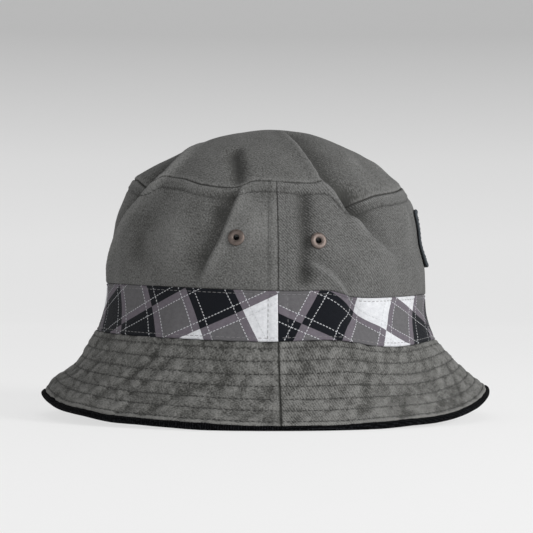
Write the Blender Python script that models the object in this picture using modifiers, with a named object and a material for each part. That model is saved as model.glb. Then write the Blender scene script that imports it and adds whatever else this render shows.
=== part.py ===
"""A lined bucket hat standing on its brim.

Metres, +Z up, +X towards the wearer's front. The origin is on the table, under the middle of the hat.

Every cloth layer follows one master surface, surface(angle, station). angle runs round the oval,
0 at the front and -90 degrees at the wearer's right. station runs up the hat:
-1 brim edge, 0 brim seam, 1 top of the printed band, 2 tip seam, 3 middle of the crown tip.
"""

import math

import bmesh
import bpy
from mathutils import Vector

# Overall sizes of the master surface, which is the outside of the outer cloth.
CROWN_HALF_LENGTH = 0.098
CROWN_HALF_WIDTH = 0.090
TIP_HALF_LENGTH = 0.0815
TIP_HALF_WIDTH = 0.075
BAND_FLARE_FRONT = 0.0075  # how far the band swells out on its way down to the brim
BAND_FLARE_SIDE = 0.0030
BRIM_RUN_FRONT = 0.0315  # how far the brim reaches out at the front and back
BRIM_RUN_SIDE = 0.0250
BRIM_SEAM_HEIGHT = 0.0490
BAND_HEIGHT = 0.0290
CROWN_SIDE_HEIGHT = 0.0613
TIP_RISE = 0.0384
EDGE_HEIGHT = 0.0034  # of the upper brim's edge at the sides, where the hat rests
EDGE_LIFT = 0.0129  # how far the brim edge curls up at the front and back
TIP_LIFT = 0.0070  # how far the tip seam rises at the front and back
BAND_TILT = 0.0037  # the band sits lower at the front by this, and higher at the back
TIP_TILT = 0.0016
TIP_PEAK_FORWARD = 0.0070

# Cloth, from the outside in, with the clearance between two layers.
TWILL = 0.0009
LINING = 0.0007
SWEATBAND_CLOTH = 0.0010
LAYER_GAP = 0.0003
SEAM_GAP = 0.0002
SEAM_ALLOWANCE = 0.0070
SEAM_DITCH = 0.0016  # the length over which a layer dives behind its neighbour
SWEATBAND_HEIGHT = 0.0300
INTERLINING_INSET = 0.0035
LIP_REACH = 0.0036  # how far the lower brim stands out past the upper brim's edge
LIP_SHARE_FLAT = 0.55
LIP_RISE = 0.0022

# Eyelets: two on each side, one each side of the side seam.
EYELET_OFF_SEAM = 0.0240
EYELET_ABOVE_BAND = 0.0300
EYELET_FLANGE_RADIUS = 0.0050
EYELET_FLANGE_HEIGHT = 0.0010
EYELET_BORE_RADIUS = 0.0018
EYELET_WALL = 0.0005
EYELET_HOLE_CLEARANCE = 0.0004
EYELET_SEAT_CLEARANCE = 0.0004
WASHER_SEAT_CLEARANCE = 0.0008  # more, because the wall curves towards the flat washer
WASHER_RADIUS = 0.0046
WASHER_THICKNESS = 0.0005
CLINCH_WIDTH = 0.0008
CLINCH_THICKNESS = 0.0005
EYELET_SIDES = 16

# Badge at the front, sewn on along its top edge, and the care label inside the back.
BADGE_WIDTH = 0.0380
BADGE_HEIGHT = 0.0379
BADGE_ABOVE_BAND = 0.0175
BADGE_BACKING = 0.0012
BADGE_FACE = 0.0008
BADGE_BORDER = 0.0030
BADGE_CLEARANCE = 0.0007
BADGE_FLARE = 0.0030  # how far the free lower edge stands off the crown
LABEL_WIDTH = 0.0320
LABEL_HEIGHT = 0.0300
LABEL_CLOTH = 0.0004
LABEL_ABOVE_SWEATBAND = 0.0050
LABEL_CLEARANCE = 0.0008

TURNS = 48  # facets round the whole hat
BRIM_ROWS = (-1.0, -0.75, -0.5, -0.25)
BAND_ROWS = (0.35, 0.7)
SIDE_ROWS = (1.25, 1.5, 1.7, 1.85)
TIP_ROWS = (2.2, 2.45, 2.72, 3.0)
LINING_ROWS = (*BAND_ROWS, 1.0, *SIDE_ROWS)

# Depth of each layer's outer face below the master surface.
SECOND_LAYER = -(TWILL + LAYER_GAP)
THIRD_LAYER = 2 * SECOND_LAYER
FOURTH_LAYER = THIRD_LAYER - LINING - LAYER_GAP

BELL = 0.33  # how hollow the brim's slope is
CROWN_TAPER = 2.5
BAND_FLARE_POWER = 2.0
TIP_DOME = 1.92
EDGE_LIFT_POWER = 7
TIP_SEAM_TURN = 0.1  # half the bend at the tip seam, as a slope

GREY_TWILL = (0.105, 0.105, 0.100)
BLACK_TWILL = (0.010, 0.011, 0.013)
PRINTED_COTTON = (0.200, 0.200, 0.215)
INTERLINING_WHITE = (0.600, 0.590, 0.560)
ANTIQUE_METAL = (0.150, 0.115, 0.100)
SATIN_WHITE = (0.750, 0.750, 0.740)
BADGE_SLATE = (0.040, 0.047, 0.055)

RIGHT_SIDE, LEFT_SIDE = -math.pi / 2, math.pi / 2
HALVES = {"front": (RIGHT_SIDE, LEFT_SIDE), "back": (LEFT_SIDE, RIGHT_SIDE + 2 * math.pi)}


def brim_seam_height(angle):
    return BRIM_SEAM_HEIGHT - BAND_TILT * math.cos(angle)


def edge_height(angle):
    return EDGE_HEIGHT + EDGE_LIFT * abs(math.cos(angle)) ** EDGE_LIFT_POWER


def tip_seam_height(angle):
    level = BRIM_SEAM_HEIGHT + BAND_HEIGHT + CROWN_SIDE_HEIGHT
    return level + TIP_LIFT * math.cos(angle) ** 2 - TIP_TILT * math.cos(angle)


def surface(angle, station):
    """The point of the master surface at this angle and station."""
    shift = 0.0
    if station <= 0:
        out = -station
        length = CROWN_HALF_LENGTH + BAND_FLARE_FRONT + BRIM_RUN_FRONT * out
        width = CROWN_HALF_WIDTH + BAND_FLARE_SIDE + BRIM_RUN_SIDE * out
        drop = out + BELL * out * (1 - out)
        height = brim_seam_height(angle) + (edge_height(angle) - brim_seam_height(angle)) * drop
    elif station <= 1:
        flare = (1 - station) ** BAND_FLARE_POWER
        length = CROWN_HALF_LENGTH + BAND_FLARE_FRONT * flare
        width = CROWN_HALF_WIDTH + BAND_FLARE_SIDE * flare
        height = brim_seam_height(angle) + BAND_HEIGHT * station
    elif station <= 2:
        taper = (station - 1) ** CROWN_TAPER
        length = CROWN_HALF_LENGTH + (TIP_HALF_LENGTH - CROWN_HALF_LENGTH) * taper
        width = CROWN_HALF_WIDTH + (TIP_HALF_WIDTH - CROWN_HALF_WIDTH) * taper
        foot = brim_seam_height(angle) + BAND_HEIGHT
        height = foot + (tip_seam_height(angle) - foot) * (station - 1)
    else:
        inward = 3 - min(station, 3.0)
        length, width = TIP_HALF_LENGTH * inward, TIP_HALF_WIDTH * inward
        top = BRIM_SEAM_HEIGHT + BAND_HEIGHT + CROWN_SIDE_HEIGHT + TIP_RISE
        height = top - (top - tip_seam_height(angle)) * inward**TIP_DOME
        shift = TIP_PEAK_FORWARD * (1 - inward**2)
    return Vector((length * math.cos(angle) + shift, width * math.sin(angle), height))


def outward(angle, station):
    """The unit normal of the master surface, pointing out of the hat."""
    if station >= 3:
        return Vector((0, 0, 1))
    step = 0.01
    along = surface(angle, min(station + step, 3.0)) - surface(angle, station - step)
    around = surface(angle + step, station) - surface(angle - step, station)
    return around.cross(along).normalized()


def layer_point(angle, station, depth):
    return surface(angle, station) + outward(angle, station) * depth


def travel(angle, station, distance):
    """The station that lies distance further up the surface."""
    step = 0.01 if station < 2.98 else -0.01
    speed = (surface(angle, station + step) - surface(angle, station)).length / abs(step)
    return station + distance / speed


def near(station, distance):
    """A station a little up or down from a seam, measured at the side of the hat."""
    return travel(RIGHT_SIDE, station + math.copysign(0.005, distance), distance)


def collection(name):
    made = bpy.data.collections.new(name)
    bpy.context.scene.collection.children.link(made)
    return made


def move_to(piece, where):
    for old in list(piece.users_collection):
        old.objects.unlink(piece)
    where.objects.link(piece)


def material(name, colour, roughness=0.9, metallic=0.0):
    made = bpy.data.materials.new(name)
    made.use_nodes = True
    shader = made.node_tree.nodes["Principled BSDF"]
    shader.inputs["Base Color"].default_value = (*colour, 1)
    shader.inputs["Roughness"].default_value = roughness
    shader.inputs["Metallic"].default_value = metallic
    return made


def mesh_object(name, shape, finish, where):
    shape.normal_update()
    mesh = bpy.data.meshes.new(name)
    shape.to_mesh(mesh)
    shape.free()
    mesh.materials.append(finish)
    mesh.shade_smooth()
    made = bpy.data.objects.new(name, mesh)
    where.objects.link(made)
    return made


def half_angles(half):
    """The facet angles of one half, kept clear of the side seams."""
    start, end = HALVES[half]
    gap = SEAM_GAP / CROWN_HALF_WIDTH
    count = TURNS // 2
    angles = [start + (end - start) * i / count for i in range(count + 1)]
    angles[0] += gap
    angles[-1] -= gap
    return angles


def round_angles():
    return [2 * math.pi * i / TURNS for i in range(TURNS)]


def cloth(name, angles, rows, thickness, finish, where, closed=False):
    """A layer of cloth through rows of (station, depth), given from the lowest to the highest."""
    shape = bmesh.new()
    lines = []
    for station, depth in rows:
        if station >= 3:
            lines.append([shape.verts.new(layer_point(0, station, depth))])
        else:
            lines.append([shape.verts.new(layer_point(angle, station, depth)) for angle in angles])
    last = len(angles) if closed else len(angles) - 1
    for lower, upper in zip(lines, lines[1:]):
        for i in range(last):
            j = (i + 1) % len(angles)
            if len(upper) == 1:
                shape.faces.new((lower[i], lower[j], upper[0]))
            else:
                shape.faces.new((lower[i], lower[j], upper[j], upper[i]))
    made = mesh_object(name, shape, finish, where)
    shell = made.modifiers.new("thickness", "SOLIDIFY")
    shell.thickness = thickness
    shell.offset = -1
    return made


def cut(target, cutter):
    boolean = target.modifiers.new("cut_" + cutter.name, "BOOLEAN")
    boolean.operation = "DIFFERENCE"
    boolean.object = cutter


def turned(name, profile, finish, where):
    """A round piece about its own Z axis, from a closed profile of (radius, height)."""
    shape = bmesh.new()
    points = [shape.verts.new((radius, 0, height)) for radius, height in profile]
    for i, point in enumerate(points):
        shape.edges.new((point, points[(i + 1) % len(points)]))
    made = mesh_object(name, shape, finish, where)
    screw = made.modifiers.new("turn", "SCREW")
    screw.steps = EYELET_SIDES
    screw.render_steps = EYELET_SIDES
    screw.use_merge_vertices = True
    screw.merge_threshold = 0.00001
    screw.use_smooth_shade = True
    return made


def aim(piece, place, direction):
    piece.location = place
    piece.rotation_mode = "QUATERNION"
    piece.rotation_quaternion = direction.to_track_quat("Z", "Y")


def crown_tip(finish, where):
    """The oval top panel. Its seam allowance is turned down behind the side panels."""
    rows = [
        (near(2, -SEAM_ALLOWANCE), SECOND_LAYER),
        (near(2, -SEAM_GAP), SECOND_LAYER),
        (near(2, SEAM_DITCH), 0),
    ]
    rows += [(station, 0) for station in TIP_ROWS]
    return cloth("crown_tip", round_angles(), rows, TWILL, finish, where, closed=True)


def crown_side(half, finish, where):
    """One half of the crown wall. Its lower allowance is turned down behind the printed band."""
    rows = [
        (near(1, -SEAM_ALLOWANCE), SECOND_LAYER),
        (near(1, -SEAM_GAP), SECOND_LAYER),
        (near(1, SEAM_DITCH), 0),
    ]
    rows += [(station, 0) for station in SIDE_ROWS]
    rows.append((near(2, -SEAM_GAP), 0))
    return cloth("crown_side_" + half, half_angles(half), rows, TWILL, finish, where)


def plaid_band(half, finish, where):
    rows = [(near(0, SEAM_GAP), 0)]
    rows += [(station, 0) for station in BAND_ROWS]
    rows.append((near(1, -SEAM_GAP), 0))
    return cloth("plaid_band_" + half, half_angles(half), rows, TWILL, finish, where)


def brim_upper(half, finish, where):
    """One half of the upper brim. Its inner allowance is turned up behind the band."""
    rows = [(station, 0) for station in BRIM_ROWS]
    rows += [
        (near(0, -SEAM_DITCH), 0),
        (near(0, -SEAM_GAP), SECOND_LAYER),
        (near(0, SEAM_ALLOWANCE), SECOND_LAYER),
    ]
    return cloth("brim_upper_" + half, half_angles(half), rows, TWILL, finish, where)


def brim_interlining(half, finish, where):
    """The stiffener sealed between the two brim layers, short of the seam and of the edge."""
    rows = [(near(-1, INTERLINING_INSET), SECOND_LAYER)]
    rows += [(station, SECOND_LAYER) for station in BRIM_ROWS[1:]]
    rows.append((near(0, -INTERLINING_INSET), SECOND_LAYER))
    return cloth("brim_interlining_" + half, half_angles(half), rows, TWILL, finish, where)


def brim_lower(half, finish, where, table):
    """One half of the lower brim, rolled past the upper brim's edge and flat where it rests."""
    rows = [
        (near(-1, -LIP_REACH), THIRD_LAYER + LIP_RISE),
        (near(-1, -LIP_REACH * LIP_SHARE_FLAT), THIRD_LAYER),
    ]
    rows += [(station, THIRD_LAYER) for station in BRIM_ROWS]
    rows.append((near(0, -SEAM_GAP), THIRD_LAYER))
    made = cloth("brim_lower_" + half, half_angles(half), rows, LINING, finish, where)
    cut(made, table)
    return made


def lining_tip_gap():
    """Wider than the outer seam's gap, because the two linings lean together as they go deeper."""
    return SEAM_GAP - THIRD_LAYER * TIP_SEAM_TURN


def lining_side(half, finish, where):
    rows = [(near(0, SEAM_GAP), THIRD_LAYER)]
    rows += [(station, THIRD_LAYER) for station in LINING_ROWS]
    rows.append((near(2, -lining_tip_gap()), THIRD_LAYER))
    return cloth("lining_side_" + half, half_angles(half), rows, LINING, finish, where)


def lining_tip(finish, where):
    rows = [(near(2, lining_tip_gap()), THIRD_LAYER)]
    rows += [(station, THIRD_LAYER) for station in TIP_ROWS]
    return cloth("lining_tip", round_angles(), rows, LINING, finish, where, closed=True)


def sweatband(finish, where):
    """The band round the inside of the head opening."""
    rows = [(near(0, SEAM_GAP), FOURTH_LAYER)]
    rows += [(station, FOURTH_LAYER) for station in BAND_ROWS]
    rows.append((near(0, SWEATBAND_HEIGHT), FOURTH_LAYER))
    cloth_thickness = SWEATBAND_CLOTH
    return cloth("sweatband", round_angles(), rows, cloth_thickness, finish, where, closed=True)


def eyelet_angles():
    """Name and angle of each eyelet."""
    turn = math.asin(EYELET_OFF_SEAM / CROWN_HALF_LENGTH)
    return {
        "right_front": RIGHT_SIDE + turn,
        "right_back": RIGHT_SIDE - turn,
        "left_front": LEFT_SIDE - turn,
        "left_back": LEFT_SIDE + turn,
    }


def eyelet_station():
    return 1 + EYELET_ABOVE_BAND / CROWN_SIDE_HEIGHT


def wall_depth():
    """From the outside of the crown to the inside of its lining."""
    return LINING - THIRD_LAYER


def eyelet_profile():
    """Flange, barrel and clinched end, in order down the outside and back up the bore."""
    bore = EYELET_BORE_RADIUS
    barrel = bore + EYELET_WALL
    rim = EYELET_FLANGE_RADIUS
    top = EYELET_SEAT_CLEARANCE + EYELET_FLANGE_HEIGHT
    seat = EYELET_SEAT_CLEARANCE
    clinch = -(wall_depth() + WASHER_SEAT_CLEARANCE + WASHER_THICKNESS + LAYER_GAP)
    clinch_end = clinch - CLINCH_THICKNESS
    middle = (bore + rim) / 2
    return [
        (bore, (top + seat) / 2),
        (bore + (middle - bore) / 2, top),
        (middle, top),
        (rim - (rim - middle) / 4, (top + seat) / 2),
        (rim, seat),
        (barrel, seat),
        (barrel, clinch),
        (barrel + CLINCH_WIDTH, clinch),
        (barrel + CLINCH_WIDTH, clinch_end),
        (bore, clinch_end),
    ]


def washer_profile():
    """A flat ring against the inside of the lining."""
    hole = EYELET_BORE_RADIUS + EYELET_WALL + EYELET_HOLE_CLEARANCE
    top = -(wall_depth() + WASHER_SEAT_CLEARANCE)
    bottom = top - WASHER_THICKNESS
    return [(hole, top), (WASHER_RADIUS, top), (WASHER_RADIUS, bottom), (hole, bottom)]


def eyelet_cutter(name, angle, where):
    radius = EYELET_BORE_RADIUS + EYELET_WALL + EYELET_HOLE_CLEARANCE
    bpy.ops.mesh.primitive_cylinder_add(vertices=EYELET_SIDES, radius=radius, depth=0.02)
    cutter = bpy.context.object
    cutter.name = "hole_" + name
    aim(cutter, surface(angle, eyelet_station()), outward(angle, eyelet_station()))
    cutter.hide_render = True
    cutter.display_type = "WIRE"
    move_to(cutter, where)
    return cutter


def table_cutter(where):
    """Everything below the surface that the hat stands on."""
    size = 4 * (CROWN_HALF_LENGTH + BRIM_RUN_FRONT)
    bpy.ops.mesh.primitive_cube_add(size=size, location=(0, 0, -size / 2))
    cutter = bpy.context.object
    cutter.name = "table"
    cutter.hide_render = True
    cutter.display_type = "WIRE"
    move_to(cutter, where)
    return cutter


def badge_station(height):
    """The station at the front, at this height above the band."""
    side = tip_seam_height(0) - brim_seam_height(0) - BAND_HEIGHT
    return 1 + height / side


def badge_layer(name, inset, depth, thickness, finish, where):
    """A rectangle of cloth bent to the front of the crown, flaring off it towards its lower edge."""
    half_turn = (BADGE_WIDTH / 2 - inset) / CROWN_HALF_WIDTH
    angles = [half_turn * (i / 3 - 1) for i in range(7)]
    low = BADGE_ABOVE_BAND + inset
    high = BADGE_ABOVE_BAND + BADGE_HEIGHT - inset
    rows = []
    for i in range(6):
        height = low + (high - low) * i / 5
        drop = (BADGE_ABOVE_BAND + BADGE_HEIGHT - height) / BADGE_HEIGHT
        rows.append((badge_station(height), depth + BADGE_FLARE * drop**3))
    return cloth(name, angles, rows, thickness, finish, where)


def badge(backing_finish, face_finish, where):
    backing = BADGE_CLEARANCE + BADGE_BACKING
    face = backing + LAYER_GAP + BADGE_FACE
    made = [
        badge_layer("badge_backing", 0, backing, BADGE_BACKING, backing_finish, where),
        badge_layer("badge_face", BADGE_BORDER, face, BADGE_FACE, face_finish, where),
    ]
    top = badge_station(BADGE_ABOVE_BAND + BADGE_HEIGHT)
    hinge = layer_point(0, top, BADGE_CLEARANCE + BADGE_BACKING / 2)
    return put_on_hinge("badge_hinge", hinge, made, where)


def put_on_hinge(name, place, pieces, where):
    """Parents the pieces to an empty on their joint's axis, without moving them."""
    empty = bpy.data.objects.new(name, None)
    where.objects.link(empty)
    empty.location = place
    bpy.context.view_layer.update()
    for piece in pieces:
        world = piece.matrix_world.copy()
        piece.parent = empty
        piece.matrix_parent_inverse = empty.matrix_world.inverted()
        piece.matrix_world = world
    return empty


def lining_facet_point(angle, station):
    """A point on the flat facets of the side lining's inner face, not on the smooth surface."""
    turn = 2 * math.pi / TURNS
    first = math.floor(angle / turn) * turn
    across = (angle - first) / turn
    low = max(row for row in LINING_ROWS if row <= station)
    high = min((row for row in LINING_ROWS if row > station), default=2.0)
    up = (station - low) / (high - low)
    depth = THIRD_LAYER - LINING
    lower = layer_point(first, low, depth).lerp(layer_point(first + turn, low, depth), across)
    upper = layer_point(first, high, depth).lerp(layer_point(first + turn, high, depth), across)
    return lower.lerp(upper, up)


def care_label(finish, where):
    """A ribbon label hanging inside the back, above the sweatband, sewn in along its top."""
    low = brim_seam_height(math.pi) + SWEATBAND_HEIGHT + LABEL_ABOVE_SWEATBAND
    high = low + LABEL_HEIGHT
    foot = brim_seam_height(math.pi) + BAND_HEIGHT
    side = tip_seam_height(math.pi) - foot
    station = 1 + (high - foot) / side
    station += wall_depth() * outward(math.pi, station).z / side
    wall_half_width = layer_point(LEFT_SIDE, station, THIRD_LAYER - LINING).y
    corner_turn = math.asin(LABEL_WIDTH / 2 / wall_half_width)
    wall = lining_facet_point(math.pi - corner_turn, station).x
    middle = wall + LABEL_CLEARANCE + LABEL_CLOTH / 2
    bpy.ops.mesh.primitive_cube_add(size=1)
    label = bpy.context.object
    label.name = "care_label"
    label.scale = (LABEL_CLOTH, LABEL_WIDTH, LABEL_HEIGHT)
    bpy.ops.object.transform_apply(scale=True)
    label.location = (middle, 0, (low + high) / 2)
    label.data.materials.append(finish)
    move_to(label, where)
    return put_on_hinge("care_label_hinge", Vector((middle, 0, high)), [label], where)


def main():
    for old in list(bpy.data.objects):
        bpy.data.objects.remove(old)
    hat = collection("bucket_hat")
    cutters = collection("cutters")

    grey = material("grey_twill", GREY_TWILL)
    black = material("black_twill", BLACK_TWILL)
    printed = material("printed_cotton", PRINTED_COTTON, 0.8)
    stiffener = material("interlining", INTERLINING_WHITE)
    metal = material("antique_metal", ANTIQUE_METAL, 0.45, 0.8)
    satin = material("satin_ribbon", SATIN_WHITE, 0.5)
    slate = material("badge_cloth", BADGE_SLATE, 0.7)

    table = table_cutter(cutters)
    holes = {name: eyelet_cutter(name, angle, cutters) for name, angle in eyelet_angles().items()}

    crown_tip(grey, hat)
    lining_tip(black, hat)
    sweatband(black, hat)
    for half in HALVES:
        plaid_band(half, printed, hat)
        brim_upper(half, grey, hat)
        brim_interlining(half, stiffener, hat)
        brim_lower(half, black, hat, table)
        for wall in (crown_side(half, grey, hat), lining_side(half, black, hat)):
            for name, hole in holes.items():
                if name.endswith(half):
                    cut(wall, hole)

    for name, angle in eyelet_angles().items():
        place, direction = surface(angle, eyelet_station()), outward(angle, eyelet_station())
        aim(turned("eyelet_" + name, eyelet_profile(), metal, hat), place, direction)
        aim(turned("eyelet_washer_" + name, washer_profile(), metal, hat), place, direction)

    badge(black, slate, hat)
    care_label(satin, hat)


main()
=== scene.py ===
# %% [markdown]
# # A grey bucket hat
#
# A bucket hat is sewn from flat panels: an oval tip, two side panels, a band and a sloping brim.
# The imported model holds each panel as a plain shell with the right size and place. This lesson
# lays real cloth over it: creases, turned seam edges, rows of stitches, weave and print.

import math

import bpy
import numpy as np
from mathutils import Matrix, Vector


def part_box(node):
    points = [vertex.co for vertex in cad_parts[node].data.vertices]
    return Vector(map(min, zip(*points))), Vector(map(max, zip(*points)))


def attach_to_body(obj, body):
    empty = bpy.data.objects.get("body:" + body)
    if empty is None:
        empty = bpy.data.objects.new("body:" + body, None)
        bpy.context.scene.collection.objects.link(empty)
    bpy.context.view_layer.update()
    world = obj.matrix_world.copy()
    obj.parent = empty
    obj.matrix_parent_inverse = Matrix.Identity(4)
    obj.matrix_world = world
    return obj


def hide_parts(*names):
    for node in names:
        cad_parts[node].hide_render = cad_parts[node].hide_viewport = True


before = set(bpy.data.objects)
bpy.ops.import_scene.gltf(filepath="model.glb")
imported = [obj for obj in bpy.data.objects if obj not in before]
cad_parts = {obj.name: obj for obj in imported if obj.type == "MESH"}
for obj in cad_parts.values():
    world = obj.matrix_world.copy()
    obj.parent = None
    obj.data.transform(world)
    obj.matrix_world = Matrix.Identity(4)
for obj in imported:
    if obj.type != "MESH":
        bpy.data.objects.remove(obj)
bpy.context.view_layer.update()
MM = 0.001

# %% [markdown]
# ## One surface for every layer
#
# A hat's layers are cut from the same pattern, so one formula can carry them all. A place on the
# hat is an angle round the head and a station up the hat: -1 is the brim's edge, 0 the brim seam,
# 1 the top of the band, 2 the tip seam and 3 the middle of the tip. The front is at 0 degrees and
# the wearer's right at -90. The half sizes are read from the plain panels.

# %% The pattern's sizes
def half_size(node):
    """Half the length and half the width that a plain front panel reaches."""
    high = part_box(node)[1]
    return np.array([high.x, high.y])


CROWN_HALF = half_size("crown_side_front")
SEAM_HALF = half_size("plaid_band_front")
EDGE_HALF = half_size("brim_upper_front")
TIP_HALF = np.array([81.5, 75.0]) * MM
BRIM_SEAM_HEIGHT = 49.0 * MM
BAND_HEIGHT = 29.0 * MM
SIDE_HEIGHT = 61.3 * MM
TIP_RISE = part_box("crown_tip")[1].z - BRIM_SEAM_HEIGHT - BAND_HEIGHT - SIDE_HEIGHT
EDGE_HEIGHT = 3.4 * MM
EDGE_CURL = 12.9 * MM  # how far the brim's edge curls up at the front and back
EDGE_SWAY = 2.6 * MM  # and how much it lifts between there and the sides
BAND_TILT = 3.7 * MM  # the band sits lower at the front by this
TIP_LIFT = 7.0 * MM  # the tip seam rises by this at the front and back
TIP_TILT = 1.6 * MM
TIP_LEAN = 4.0 * MM  # the peak is this far forward of the middle
RIGHT, LEFT = -90.0, 90.0
print("head opening half sizes, mm:", (CROWN_HALF / MM).round(1))


# %% The pattern's surface
def smooth_step(value):
    value = np.clip(value, 0, 1)
    return value * value * (3 - 2 * value)


def bell(distance, width):
    """1 where the distance is nothing, and less and less beyond the width."""
    return np.exp(-((distance / width) ** 2))


def pattern_point(angle, station):
    """Points of the outer cloth before any crease, for angles in degrees."""
    turn, station = np.broadcast_arrays(np.radians(angle), np.asarray(station, float))
    front = np.cos(turn)
    out = np.clip(-station, 0, None)
    inward = np.clip(3 - station, 0, 1)
    flare = np.clip(1 - station, 0, 1) ** 2
    taper = np.clip(station - 1, 0, 1) ** 2.5
    half = [
        (crown + (seam - crown) * flare + (edge - seam) * out + (tip - crown) * taper) * inward
        for crown, seam, edge, tip in zip(CROWN_HALF, SEAM_HALF, EDGE_HALF, TIP_HALF)
    ]
    seam_height = BRIM_SEAM_HEIGHT - BAND_TILT * front
    edge_height = EDGE_HEIGHT + EDGE_CURL * np.abs(front) ** 7
    sway = smooth_step((np.abs(front) - 0.15) / 0.5) * (1 - smooth_step((-front - 0.80) / 0.18))
    edge_height = edge_height + EDGE_SWAY * sway
    level = BRIM_SEAM_HEIGHT + BAND_HEIGHT + SIDE_HEIGHT
    tip_height = level + (TIP_LIFT * front - TIP_TILT) * front
    top = level + TIP_RISE
    band_top = seam_height + BAND_HEIGHT
    fall = out + 0.33 * out * (1 - out)
    height = seam_height + (edge_height - seam_height) * fall
    height = np.where(station > 0, seam_height + BAND_HEIGHT * station, height)
    height = np.where(station > 1, band_top + (tip_height - band_top) * (station - 1), height)
    height = np.where(station > 2, top - (top - tip_height) * inward**1.92, height)
    lean = np.where(station > 2, TIP_LEAN * (1 - inward**2), 0)
    return np.stack([half[0] * front + lean, half[1] * np.sin(turn), height], axis=-1)


def pattern_normal(angle, station):
    """Unit directions out of the hat."""
    angle, station = np.broadcast_arrays(np.asarray(angle, float), np.asarray(station, float))
    station = np.minimum(station, 2.96)
    up = pattern_point(angle, station + 0.02) - pattern_point(angle, station - 0.02)
    around = pattern_point(angle + 1, station) - pattern_point(angle - 1, station)
    normal = np.cross(around, up)
    return normal / np.linalg.norm(normal, axis=-1, keepdims=True)


print("top of the pattern, mm:", (pattern_point(0, 3) / MM).round(1))

# %% [markdown]
# ## Creases
#
# Washed twill keeps the creases of the hands and bags it has been in. A cloth simulation could
# make some, but not these, so each crease is drawn as a line over the pattern with a height, or a
# depth, and a width. The nearer a point is to the line, the more it moves in or out.

# %% Draw the creases
def crease_line(path, count=140):
    """Points along a path of (angle, station) pairs, the way to their left, and their share of it."""
    path = np.array(path, float)
    share = np.linspace(0, 1, count)
    spots = np.linspace(0, 1, len(path))
    angle = np.interp(share, spots, path[:, 0])
    station = np.interp(share, spots, path[:, 1])
    for _ in range(6):
        angle[1:-1] = (angle[:-2] + 2 * angle[1:-1] + angle[2:]) / 4
        station[1:-1] = (station[:-2] + 2 * station[1:-1] + station[2:]) / 4
    line = pattern_point(angle, station)
    left = np.cross(pattern_normal(angle, station), np.gradient(line, axis=0))
    return line, left / np.linalg.norm(left, axis=1, keepdims=True), share


# Each crease: path, height, width, then the drop to the left of its path and that drop's width,
# all in mm, and last the share of its length over which each end fades.
CREASES = [
    # the main fold, from the peak down over the wearer's right and round to the front
    ([(-88, 2.84), (-81, 2.71), (-75, 2.44), (-72.5, 2.22), (-71, 2.05), (-66.5, 1.94), (-62.6, 1.81),
      (-59, 1.69), (-55, 1.57)], 2.1, 3.6, 4.4, 13, 0.13),
    ([(-62.6, 1.81), (-59, 1.69), (-53.6, 1.52), (-45.8, 1.39), (-38, 1.29)], 1.4, 5.5, 2.4, 14, 0.45),
    ([(-56, 2.02), (-61.5, 1.90), (-60.5, 1.77), (-56, 1.66)], -4.0, 5, 0, 1, 0.4),
    # softer folds beside it, towards the front
    ([(-34, 2.45), (-42, 2.24), (-41, 2.06)], 1.5, 5, 0, 1, 0.5),
    ([(-21, 2.30), (-18, 2.17), (-10, 2.05)], 1.2, 5, 0, 1, 0.5),
    ([(-24, 1.90), (-26, 1.72), (-28, 1.48)], 1.4, 4, 0, 1, 0.5),
    # the valley in front of the side seam, and the small pull below the eyelet
    ([(-81.5, 1.02), (-81.5, 1.26), (-80.5, 1.45), (-80.5, 1.72), (-79, 2.0)], -3.0, 4.2, 0, 1, 0.1),
    ([(-81, 1.30), (-77, 1.24), (-72.6, 1.17), (-68, 1.06), (-63, 0.90)], 2.2, 2.8, 1.8, 6, 0.22),
    ([(-82, 1.26), (-80, 1.16), (-77, 1.08)], -1.6, 3.6, 0, 1, 0.5),
    ([(-66, 1.05), (-63, 0.85), (-62, 0.55), (-65, 0.25)], -1.5, 4.5, 0, 1, 0.4),
    ([(-54, 1.0), (-50, 0.7), (-52, 0.4), (-50, 0.0)], 1.4, 7, 0, 1, 0.5),
    # the dent in the tip and the valley below it
    ([(-118, 0.98), (-114, 1.25), (-110, 1.46), (-107, 1.70), (-104.8, 1.88), (-103, 2.02)],
     1.2, 5, 4.2, 11, 0.22),
    ([(-105.5, 1.94), (-107.5, 2.06), (-111, 2.18), (-117, 2.32), (-122, 2.42)], -3.6, 4.8, 0, 1, 0.3),
    ([(-113, 1.86), (-113, 1.74), (-112, 1.62)], -1.8, 4.5, 0, 1, 0.5),
    ([(-104, 1.25), (-101, 1.50), (-99, 1.75), (-97, 1.95)], 2.0, 9, 0, 1, 0.5),
    ([(-141, 1.80), (-147, 1.50), (-145, 1.08)], -2.0, 7.5, 0, 1, 0.35),
    ([(-132, 1.86), (-130, 1.44), (-127, 1.05)], 1.6, 9, 0, 1, 0.35),
    # the back's fold, with the lobe that hangs behind it
    ([(-182, 0.85), (-175, 1.05), (-168.4, 1.29), (-162.5, 1.48), (-157, 1.65), (-151.5, 1.77), (-147, 1.89),
      (-144, 2.02), (-148, 2.19), (-158, 2.40), (-164, 2.48)], 2.6, 4.2, 5.6, 9, 0.17),
    # the dip behind the front patch
    ([(-30, 1.46), (0, 1.46), (30, 1.46)], -1.8, 9, 0, 1, 0.4),
    ([(-25, 1.82), (0, 1.80), (25, 1.82)], 1.4, 8, 0, 1, 0.4),
    # the far side has its own, quieter folds
    ([(60, 2.6), (72, 2.25), (80, 2.0), (84, 1.7)], 1.6, 6, 1.6, 10, 0.4),
    ([(110, 2.4), (118, 2.1), (114, 1.8), (108, 1.4)], -2.2, 8, 0, 1, 0.5),
    ([(28, 2.3), (36, 2.0), (44, 1.7), (40, 1.35)], -1.8, 8, 0, 1, 0.5),
    ([(146, 2.2), (150, 1.9), (143, 1.5)], 1.6, 7, 1.2, 9, 0.5),
]
CREASE_LINES = [(crease_line(path), *sizes) for path, *sizes in CREASES]


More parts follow.
